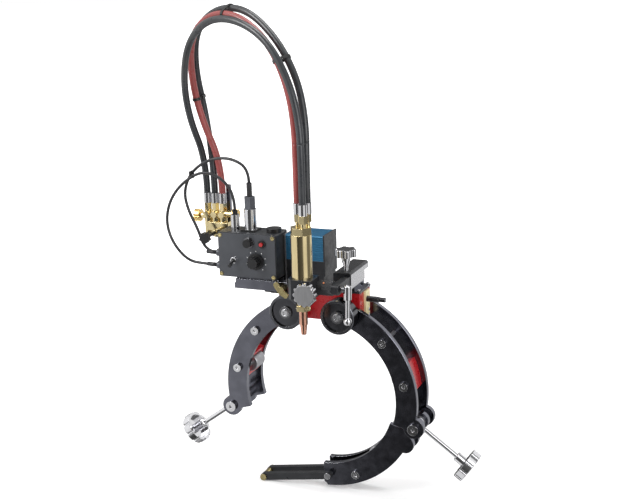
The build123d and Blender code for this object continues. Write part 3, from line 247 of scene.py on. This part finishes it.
# Electric cables, with a sleeve where each enters the control box
cable_parts = []
for name, corners in CABLES.items():
    path = route_points(metres(corners))
    cable = tube(f"cable_{name}", path, CABLE_R)
    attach(cable, "frame")
    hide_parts("cables")
    cable_parts.append(cable)
for level in SLEEVE_LEVELS:
    ends = metres([(-175, -25, level + 0.4), (-166, -25, level), (-157.8, -25, level)])
    sleeve = tube(f"cable_sleeve_{level}", ends, SLEEVE_R)
    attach(sleeve, "frame")
    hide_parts("cables")
    cable_parts.append(sleeve)
cable_strap = strap("cable_strap", [Vector((-0.190, -0.022, 0.326)), Vector((-0.2, -0.022, 0.315))],
                    [Vector((-0.186, -0.0285, 0.319)), Vector((-0.196, -0.0285, 0.312))], CABLE_R)
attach(cable_strap, "frame")
straps.append(cable_strap)

# Orange dot on the round of the tilt pivot
outward = Vector((0, -0.57, 0.82)).normalized()
pivot_mark = Vector((0.034, -0.080, 0.180)) + outward * 0.0103
pivot_dot = tube("pivot_dot", [pivot_mark, pivot_mark + outward * 0.0005], 0.0012)
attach(pivot_dot, "holder")

GRAIN_SCALE = 900.0
DUST_COLOUR = (0.3, 0.29, 0.27, 1)
NOISE_SPREAD = {"From Min": 0.3, "From Max": 0.7}


def add(tree, kind, inputs=None, **settings):
    """Adds a shader node. An input that is given a socket is linked to it, any other is set to its value."""
    made = tree.nodes.new(kind)
    for key, value in settings.items():
        setattr(made, key, value)
    for key, value in (inputs or {}).items():
        if isinstance(value, bpy.types.NodeSocket):
            tree.links.new(value, made.inputs[key])
        else:
            made.inputs[key].default_value = value
    return made


def mixed(tree, share, first, second):
    """Colour between first and second, by share."""
    made = add(tree, "ShaderNodeMix", {0: share, "A": first, "B": second}, data_type="RGBA")
    return made.outputs["Result"]


def material(name, colour, rough, metal, vary, scale, grain,
             bevel=0.0005, edge=None, streak=(1, 1, 1), dust=0.0, coat=0.0):
    """Painted, plated or moulded surface: mottled colour, uneven gloss, grain, soft and worn edges."""
    made = bpy.data.materials.new(name)
    made.use_nodes = True
    tree = made.node_tree
    tree.nodes.clear()
    where = add(tree, "ShaderNodeTexCoord").outputs["Object"]
    stretched = add(tree, "ShaderNodeMapping", {0: where, "Scale": streak}).outputs[0]
    rounded = add(tree, "ShaderNodeBevel", {"Radius": bevel}, samples=4).outputs[0]
    cloud = add(tree, "ShaderNodeTexNoise", {0: stretched, "Scale": scale, "Detail": 6.0}).outputs[0]
    tone = add(tree, "ShaderNodeMapRange", {
        0: cloud, **NOISE_SPREAD, "To Min": 1 - vary, "To Max": 1 + vary}).outputs[0]
    base = add(tree, "ShaderNodeVectorMath", {0: colour, "Scale": tone}, operation="SCALE").outputs[0]
    if edge:
        flat = add(tree, "ShaderNodeNewGeometry").outputs["Normal"]
        turn = add(tree, "ShaderNodeVectorMath", {0: rounded, 1: flat}, operation="DOT_PRODUCT")
        worn = add(tree, "ShaderNodeMapRange", {
            0: turn.outputs["Value"], "From Min": 0.99, "From Max": 0.86}).outputs[0]
        patch = add(tree, "ShaderNodeMath", {0: worn, 1: cloud}, operation="MULTIPLY").outputs[0]
        base = mixed(tree, patch, base, (*edge, 1))
    if dust:
        spots = add(tree, "ShaderNodeTexNoise", {0: where, "Scale": scale * 0.3, "Detail": 8.0}).outputs[0]
        amount = add(tree, "ShaderNodeMapRange", {
            0: spots, "From Min": 0.55, "From Max": 0.8, "To Max": dust}).outputs[0]
        base = mixed(tree, amount, base, DUST_COLOUR)
    smear = add(tree, "ShaderNodeTexNoise", {0: stretched, "Scale": scale * 2.3, "Detail": 5.0}).outputs[0]
    smooth, dull = max(rough * 0.75, 0.02), min(rough * 1.3, 1.0)
    gloss = add(tree, "ShaderNodeMapRange", {
        0: smear, **NOISE_SPREAD, "To Min": smooth, "To Max": dull}).outputs[0]
    fine = add(tree, "ShaderNodeTexNoise", {0: stretched, "Scale": GRAIN_SCALE, "Detail": 3.0}).outputs[0]
    rise = add(tree, "ShaderNodeBump", {
        "Strength": 1.0, "Distance": grain * MM, "Height": fine, "Normal": rounded}).outputs[0]
    shader = add(tree, "ShaderNodeBsdfPrincipled", {
        "Base Color": base, "Metallic": metal, "Roughness": gloss, "Normal": rise, "Coat Weight": coat})
    add(tree, "ShaderNodeOutputMaterial", {0: shader.outputs[0]})
    return made


# Finish: colour, roughness, metal, mottling and its scale, grain in millimetres, further settings
FINISHES = {
    "plate_black": ((0.185, 0.188, 0.22), 0.15, 1.0, 0.12, 40, 0.003, {"edge": (0.5, 0.5, 0.52)}),
    "plate_edge": ((0.11, 0.11, 0.12), 0.3, 0.9, 0.2, 60, 0.02, {"edge": (0.6, 0.6, 0.62)}),
    "red_paint": ((0.40, 0.010, 0.014), 0.3, 0.0, 0.1, 50, 0.02, {"edge": (0.6, 0.1, 0.1), "coat": 0.3}),
    "chrome": ((0.78, 0.78, 0.80), 0.12, 1.0, 0.05, 80, 0.004, {"bevel": 0.0006}),
    "dark_chrome": ((0.20, 0.20, 0.21), 0.24, 1.0, 0.15, 60, 0.01, {"bevel": 0.0008}),
    "knob_face": ((0.46, 0.46, 0.47), 0.42, 1.0, 0.1, 60, 0.012, {"streak": (8, 8, 1)}),
    "link_black": ((0.030, 0.031, 0.034), 0.36, 0.3, 0.15, 60, 0.015, {}),
    "bright_steel": ((0.66, 0.66, 0.68), 0.26, 1.0, 0.06, 50, 0.01, {"streak": (1, 8, 8)}),
    "steel": ((0.42, 0.42, 0.44), 0.34, 0.9, 0.1, 60, 0.015, {"streak": (8, 1, 8)}),
    "brass": ((0.88, 0.74, 0.42), 0.17, 1.0, 0.12, 45, 0.01, {"bevel": 0.0006}),
    "torch_brass": ((0.82, 0.68, 0.38), 0.13, 1.0, 0.1, 40, 0.006, {"streak": (4, 4, 1)}),
    "copper": ((0.78, 0.42, 0.30), 0.22, 1.0, 0.2, 90, 0.015, {}),
    "grey_satin": ((0.035, 0.037, 0.041), 0.4, 0.2, 0.12, 70, 0.02, {"edge": (0.25, 0.25, 0.26)}),
    "panel_grey": ((0.070, 0.074, 0.084), 0.4, 0.2, 0.06, 40, 0.012, {}),
    "holder_black": ((0.022, 0.023, 0.026), 0.34, 0.3, 0.15, 60, 0.02, {"edge": (0.3, 0.3, 0.31)}),
    "blue": ((0.020, 0.13, 0.25), 0.42, 0.3, 0.05, 30, 0.002, {"bevel": 0.0002}),
    "black_plastic": ((0.013, 0.013, 0.014), 0.32, 0.0, 0.2, 70, 0.015, {"bevel": 0.0006}),
    "rubber_black": ((0.030, 0.032, 0.036), 0.3, 0.0, 0.2, 35, 0.03, {"dust": 0.12, "coat": 0.2}),
    "rubber_red": ((0.29, 0.058, 0.054), 0.3, 0.0, 0.14, 35, 0.03, {"dust": 0.1, "coat": 0.2}),
    "cable": ((0.030, 0.030, 0.033), 0.36, 0.0, 0.2, 60, 0.02, {}),
    "zinc": ((0.62, 0.52, 0.26), 0.26, 1.0, 0.25, 90, 0.02, {}),
    "valve_brass": ((0.82, 0.60, 0.26), 0.2, 1.0, 0.2, 80, 0.02, {}),
    "cream": ((0.86, 0.77, 0.45), 0.34, 0.1, 0.1, 60, 0.015, {}),
    # Dark finish: the worm shaft's own dark steel, and also painted shade on the top faces of the cross
    # carriage
    "dark_steel_and_painted_shade": ((0.06, 0.06, 0.065), 0.3, 0.8, 0.2, 80, 0.015, {"edge": (0.4, 0.4, 0.4)}),
    "lamp_red": ((0.42, 0.008, 0.010), 0.1, 0.0, 0.1, 200, 0.005, {"coat": 1.0}),
    "white_dot": ((0.75, 0.75, 0.75), 0.5, 0.0, 0.05, 300, 0.005, {}),
    "orange_dot": ((0.80, 0.25, 0.08), 0.4, 0.0, 0.05, 300, 0.005, {}),
    "screen": ((0.10, 0.16, 0.10), 0.12, 0.0, 0.15, 300, 0.004, {"coat": 1.0}),
    "grey_cap": ((0.12, 0.12, 0.13), 0.4, 0.1, 0.15, 80, 0.02, {}),
    "gland_grey": ((0.085, 0.09, 0.105), 0.34, 0.0, 0.12, 80, 0.015, {}),
    "wheel_black": ((0.11, 0.112, 0.123), 0.17, 1.0, 0.15, 60, 0.004, {"edge": (0.3, 0.3, 0.3), "dust": 0.1}),
    "wheel_grey": ((0.16, 0.163, 0.18), 0.17, 1.0, 0.15, 60, 0.004, {"edge": (0.4, 0.4, 0.4)}),
    "strap_black": ((0.02, 0.02, 0.02), 0.3, 0.0, 0.15, 90, 0.015, {}),
}
M = {name: material(name, *plain, **further) for name, (*plain, further) in FINISHES.items()}

LOOKS = {
    "plate_black": ["ring_plates_front", "ring_plates_rear", "slide_base", "carrier_tray", "jaw_plates"],
    "plate_edge": ["top_plate"],
    "red_paint": ["roller_blocks", "drive_housing"],
    "cream": ["housing_end_plate"],
    "chrome": [
        "ring_screws", "housing_screws", "box_fittings", "jaw_pins", "tension_screw_left",
        "tension_screw_right", "tension_collar_left", "tension_collar_right", "star_knob_left",
        "star_knob_right", "wheel_axle_left", "wheel_axle_right", "feed_knob", "clamp_lever",
        "pinion_knob", "torch_inlets",
    ],
    "steel": ["ring_pins", "power_panel", "guide_roller_left", "guide_roller_right", "jaw_roller"],
    "bright_steel": ["cross_carriage"],
    "dark_steel_and_painted_shade": ["worm_shaft"],
    "link_black": ["link_bars"],
    "holder_black": ["power_base", "arm_bar", "torch_holder", "tilt_pivot"],
    "blue": ["power_cover"],
    "grey_satin": ["control_box"],
    "panel_grey": ["control_panel"],
    "wheel_black": ["drive_wheel_left", "drive_wheel_right"],
    "brass": ["gas_manifold", "nozzle_nut"],
    "torch_brass": ["torch_barrel"],
    "valve_brass": ["handwheel_left", "handwheel_right"],
    "copper": ["torch_nozzle"],
    "zinc": ["link_end_pin", "wing_nut"],
    "black_plastic": ["speed_knob", "toggle_lever", "manifold_knob"],
    "lamp_red": ["power_rocker"],
}


def paint(node, base, rules=()):
    """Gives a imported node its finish; each rule puts another on the faces that its test picks."""
    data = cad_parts[node].data
    data.materials.clear()
    data.materials.append(M[base])
    for _, finish in rules:
        data.materials.append(M[finish])
    for face in data.polygons:
        face.material_index = 0
        for k, (test, _) in enumerate(rules):
            if test(face.center / MM, face.normal):
                face.material_index = k + 1
                break


def near(axis, centre, radius, low=-math.inf, high=math.inf):
    """Test for faces within radius of a line along one axis, between low and high on it."""
    first, second = [(1, 2), (0, 2), (0, 1)][axis]
    return lambda c, n: (
        math.hypot(c[first] - centre[0], c[second] - centre[1]) < radius and low <= c[axis] <= high)


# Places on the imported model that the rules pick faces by, in millimetres
X, Y, Z = range(3)
LAMP, FUSE, TOGGLE, DIAL = (-75.2, 226.3), (-95.7, 227.2), (-120, 200), (-85, 200)
PANEL_FACE, PANEL_PROUD, PANEL_END = -47.05, -47.1, -60
POWER_FACE = -51.1
BIG_PLUG, SMALL_PLUG, FLANGED_CAP = (-102, -25), (-126.5, -25), (-65.2, -25)
PLUG_TOP = 400
PINION = (17.5, 178)
WHEEL_X, WHEEL_Z, WHEEL_FACE = 39.5, 129, -53.9


def wheel_face(x):
    hub, web, rim = 9.2, 21.3, 25.3
    at = (x, WHEEL_Z)
    return [(near(Y, at, hub, -60, -50), "dark_chrome"), (near(Y, at, web, -60, -50), "wheel_black"),
            (near(Y, at, rim, -60, WHEEL_FACE), "wheel_grey")]


axle_rule = [(lambda c, n: c.y > WHEEL_FACE, "steel")]
RULES = {
    "control_panel": [
        (near(Y, LAMP, 3), "lamp_red"),
        (near(Y, LAMP, 6, PANEL_END, PANEL_PROUD), "black_plastic"),
        (near(Y, FUSE, 6.2, PANEL_END, -49.1), "black_plastic"),
        (near(Y, FUSE, 8, PANEL_END, PANEL_PROUD), "dark_chrome"),
        (near(Y, TOGGLE, 5.2, PANEL_END, PANEL_PROUD), "chrome"),
        (lambda c, n: c.y < PANEL_FACE and math.hypot(c.x - DIAL[0], c.z - DIAL[1]) < 17, "white_dot"),
        (lambda c, n: c.y < PANEL_FACE, "zinc"),
    ],
    "power_panel": [
        (lambda c, n: c.x < POWER_FACE and c.z > 210, "screen"),
        (near(X, (2, 192), 6.7, -60, POWER_FACE), "grey_cap"),
        (near(X, (17, 190), 7.2, -60, POWER_FACE), "black_plastic"),
    ],
    "box_fittings": [
        (near(Z, BIG_PLUG, 10, 271.5, 291), "gland_grey"),
        (near(Z, BIG_PLUG, 10, 290, PLUG_TOP), "cable"),
        (near(Z, SMALL_PLUG, 6.8, 262.1, PLUG_TOP), "black_plastic"),
        (near(Z, FLANGED_CAP, 11.2, 239, PLUG_TOP), "black_plastic"),
        (lambda c, n: c.x < -146.01, "gland_grey"),
        (lambda c, n: c.z < 242.6, "black_plastic"),
    ],
    "gas_manifold": [(lambda c, n: c.z > 269.01, "chrome")],
    "torch_inlets": [(lambda c, n: c.z < 285.01, "brass")],
    "pinion_knob": [(near(Y, PINION, 14.4, -130, -117.9), "knob_face")],
    "ring_pins": [(lambda c, n: abs(c.y) > 30.01, "chrome")],
    "torch_barrel": [(lambda c, n: c.z > 257.01, "brass")],
    "top_plate": [(lambda c, n: n.z > 0.5, "plate_black")],
    "cross_carriage": [
        (lambda c, n: c.y < -25.0 and (n.z > 0.3 or n.y < -0.5), "holder_black"),
        # Top faces of the carriage get the dark finish: painted shade on its top, while its sides stay bright
        # steel
        (lambda c, n: n.z > 0.5, "dark_steel_and_painted_shade"),
    ],
    "clamp_lever": [(lambda c, n: c.x < 61.5, "dark_chrome")],
    "feed_knob": [(lambda c, n: n.z > 0.7 and c.z > 223, "dark_chrome")],
    "drive_wheel_left": wheel_face(-WHEEL_X),
    "drive_wheel_right": wheel_face(WHEEL_X),
    "wheel_axle_left": axle_rule,
    "wheel_axle_right": axle_rule,
    "worm_shaft": [(lambda c, n: abs(c.x) > 93.8, "steel")],
}
for look, nodes in LOOKS.items():
    for node in nodes:
        paint(node, look, RULES.get(node, ()))
for colour, hose in hose_parts:
    hose.data.materials.append(M["rubber_red" if colour == "red" else "rubber_black"])
for band in straps:
    band.data.materials.append(M["strap_black"])
for cable in cable_parts:
    cable.data.materials.append(M["cable"])
pivot_dot.data.materials.append(M["orange_dot"])

# Floor, just under the part and lit up towards white away from it
FLOOR_SIZE, FLOOR_GAP = 30, 0.0005
WHITE_FROM, WHITE_TO = 0.3, 1.3
bpy.ops.mesh.primitive_plane_add(size=FLOOR_SIZE, location=(0, 0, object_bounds()[0][2] - FLOOR_GAP))
floor = bpy.context.object
floor.name = "floor"
floor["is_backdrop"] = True
floor.visible_glossy = False
ground = bpy.data.materials.new("floor")
ground.use_nodes = True
tree = ground.node_tree
where = add(tree, "ShaderNodeTexCoord").outputs["Object"]
reach = add(tree, "ShaderNodeVectorMath", {0: where}, operation="LENGTH").outputs["Value"]
whiten = add(tree, "ShaderNodeMapRange", {
    0: reach, "From Min": WHITE_FROM, "From Max": WHITE_TO, "To Max": 1.0}).outputs[0]
seen = add(tree, "ShaderNodeLightPath").outputs["Is Camera Ray"]
glow = add(tree, "ShaderNodeMath", {0: whiten, 1: seen, 2: 0.2}, operation="MULTIPLY_ADD").outputs[0]
surface = tree.nodes["Principled BSDF"]
surface.inputs["Base Color"].default_value = (0.93, 0.93, 0.93, 1)
surface.inputs["Roughness"].default_value = 0.9
surface.inputs["Emission Color"].default_value = (1, 1, 1, 1)
tree.links.new(glow, surface.inputs["Emission Strength"])
floor.data.materials.append(ground)

# Bright screens with darker gaps between them, dim below the horizon, as the metal sees the studio
STOPS = ((0.0, 1.0), (0.178, 1.0), (0.19, 0.05), (0.35, 0.14), (0.38, 1.0), (0.47, 1.0), (0.5, 0.2),
         (0.6, 0.25), (0.64, 0.9), (0.74, 0.95), (0.78, 0.2), (0.86, 0.25), (0.9, 0.95), (1.0, 1.0))
world = bpy.data.worlds.new("world")
scene.world = world
world.use_nodes = True
sky = world.node_tree
way = add(sky, "ShaderNodeTexCoord").outputs["Generated"]
around = add(sky, "ShaderNodeTexGradient", {0: way}, gradient_type="RADIAL").outputs["Fac"]
screens = add(sky, "ShaderNodeValToRGB", {0: around})
ramp = screens.color_ramp.elements
while len(ramp) < len(STOPS):
    ramp.new(0.5)
for stop, (place, _) in zip(ramp, STOPS):
    stop.position = place
for stop, (_, light) in zip(ramp, STOPS):
    stop.color = (light, light, light, 1)
height = add(sky, "ShaderNodeSeparateXYZ", {0: way}).outputs["Z"]
lift = add(sky, "ShaderNodeMapRange", {
    0: height, "From Min": -0.3, "From Max": 0.1, "To Min": 0.8, "To Max": 1.0}).outputs[0]
studio = add(sky, "ShaderNodeVectorMath", {0: screens.outputs["Color"], "Scale": lift}, operation="SCALE")
back = sky.nodes["Background"]
back.inputs["Strength"].default_value = 1.0
sky.links.new(studio.outputs[0], back.inputs["Color"])
white = add(sky, "ShaderNodeBackground", {"Color": (1, 1, 1, 1), "Strength": 1.0})
ray = add(sky, "ShaderNodeLightPath").outputs["Is Camera Ray"]
pick = add(sky, "ShaderNodeMixShader", {0: ray, 1: back.outputs[0], 2: white.outputs[0]})
sky.links.new(pick.outputs[0], sky.nodes["World Output"].inputs[0])


def lamp(name, place, aim, size, power):
    data = bpy.data.lights.new(name, "AREA")
    data.size = size
    data.energy = power
    obj = bpy.data.objects.new(name, data)
    obj.location = place
    obj.rotation_euler = (Vector(aim) - Vector(place)).to_track_quat("-Z", "Y").to_euler()
    scene.collection.objects.link(obj)
    obj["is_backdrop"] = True


lamp("key", (-1.2, -1.4, 1.6), (0, 0, 0.15), 0.9, 26)
lamp("fill", (1.5, -1.2, 0.8), (0, 0, 0.1), 1.2, 12)
lamp("top", (0.1, 0.3, 1.9), (0, 0, 0.1), 1.0, 14)

scene.view_settings.view_transform = "Standard"

low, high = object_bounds()
